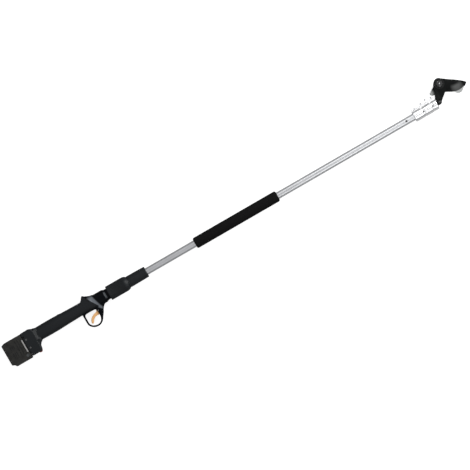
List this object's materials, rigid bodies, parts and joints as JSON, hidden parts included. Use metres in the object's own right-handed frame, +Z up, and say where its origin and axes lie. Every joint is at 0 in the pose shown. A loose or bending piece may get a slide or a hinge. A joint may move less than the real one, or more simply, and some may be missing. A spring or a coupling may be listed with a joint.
{
  "type": "cordless pole pruner",
  "caption": "Battery-powered pruning shears on a straight tube: handle with guarded trigger at one end, hook and moving blade worked by a push rod at the other.",
  "frame": {"origin": "centre of the bounding box's bottom, which is the plane that the tool rests on when it lies on its side", "axes": "+X runs along the pole from the battery to the blades, +Y across it from the trigger side to the pivot side, +Z up out of the face on which the moving blade is seen"},
  "size_m": [1.871, 0.1586, 0.053],
  "materials": {
    "body": "fine moulded texture, bluish black",
    "gloss": "glossy bluish black",
    "battery": "warm dark grey, fine grain",
    "dark": "plain black",
    "grey": "light grey, satin",
    "red": "dull red",
    "orange": "orange, satin",
    "foam": "closed-cell foam, fine pores",
    "tube": "drawn, fine lengthwise grain",
    "silver": "cast and bead-blasted",
    "blade": "black non-stick coating, ground edge",
    "steel": "bright zinc plate",
    "brass": "plain",
    "green": "circuit board",
    "black": "black oxide",
    "cells": "shrink-wrapped cells"
  },
  "bodies": {
    "tool": {"handle_shell_front": "body", "handle_shell_back": "body", "shell_screw_upper": "steel", "shell_screw_lower": "steel", "nose_and_guard": "gloss", "trigger_pin": "steel", "trigger_spring": "steel", "trigger_switch": "dark", "battery_mount": "dark", "controller": "green", "pole_tube": "tube", "collet": "dark", "pole_socket": "body", "foam_grip": "foam", "power_cable": "dark", "pole_screw": "black", "housing_front": "silver", "housing_back": "silver", "gearbox": "steel", "motor": "steel", "screw_bearing": "steel", "guide_key": "brass", "guide_bush": "brass", "rod_wiper": "dark", "hook_blade": "blade", "pivot_bolt": "steel", "pivot_nut_front": "black", "pivot_nut_back": "black", "housing_screw_1": "steel", "housing_screw_2": "steel", "housing_screw_3": "steel", "housing_screw_4": "steel", "barrel_screw_1": "steel", "hook_screw_1": "black", "barrel_screw_2": "steel", "hook_screw_2": "black"},
    "battery": {"battery_case": "battery", "battery_end_cap": "battery", "battery_panel": "dark", "battery_stripe": "grey", "battery_contacts": "brass", "battery_cells": "cells"},
    "gauge": {"gauge_button": "grey"},
    "latch": {"release_latch": "red"},
    "power": {"power_button": "grey"},
    "trigger": {"trigger": "orange"},
    "collar": {"collar_nut": "body"},
    "blade": {"moving_blade": "blade"},
    "rod": {"push_rod": "steel", "ball_nut": "steel", "drive_pin": "steel"},
    "screw": {"drive_screw": "steel"}
  },
  "joints": [
    {"name": "battery_slide", "type": "slide", "parent": "tool", "child": "battery", "axis": [0, -1, 0], "range_m": [0, 0.095]},
    {"name": "gauge_press", "type": "slide", "parent": "battery", "child": "gauge", "axis": [0, 0, -1], "range_m": [0, 0.0012], "stiffness_N_per_m": 400, "springref_m": -0.002},
    {"name": "latch_pull", "type": "slide", "parent": "tool", "child": "latch", "axis": [1, 0, 0], "range_m": [0, 0.003], "stiffness_N_per_m": 500, "springref_m": -0.004},
    {"name": "power_press", "type": "slide", "parent": "tool", "child": "power", "axis": [0, -1, 0], "range_m": [0, 0.0015], "stiffness_N_per_m": 400, "springref_m": -0.002},
    {"name": "trigger_pull", "type": "hinge", "parent": "tool", "child": "trigger", "pos_m": [-0.5795, -0.03125, 0.0265], "axis": [0, 0, -1], "range_deg": [0, 15], "stiffness_Nm_per_rad": 0.4, "springref_deg": -17.19},
    {"name": "collar_turn", "type": "hinge", "parent": "tool", "child": "collar", "pos_m": [-0.4855, 0.00175, 0.0265], "axis": [1, 0, 0], "range_deg": [0, 360]},
    {"name": "blade_open", "type": "hinge", "parent": "tool", "child": "blade", "pos_m": [0.8495, 0.05775, 0.0265], "axis": [0, 0, 1], "range_deg": [0, 45]},
    {"name": "rod_slide", "type": "slide", "parent": "tool", "child": "rod", "axis": [1, 0, 0], "range_m": [0, 0.0473]},
    {"name": "screw_spin", "type": "hinge", "parent": "tool", "child": "screw", "pos_m": [0.7645, 0.00175, 0.0265], "axis": [-1, 0, 0], "range_deg": [0, 1701]}
  ],
  "couplings": [
    {"joint": "rod_slide", "follows": "blade_open", "m_per_rad": 0.060097},
    {"joint": "screw_spin", "follows": "blade_open", "ratio": 37.76}
  ]
}
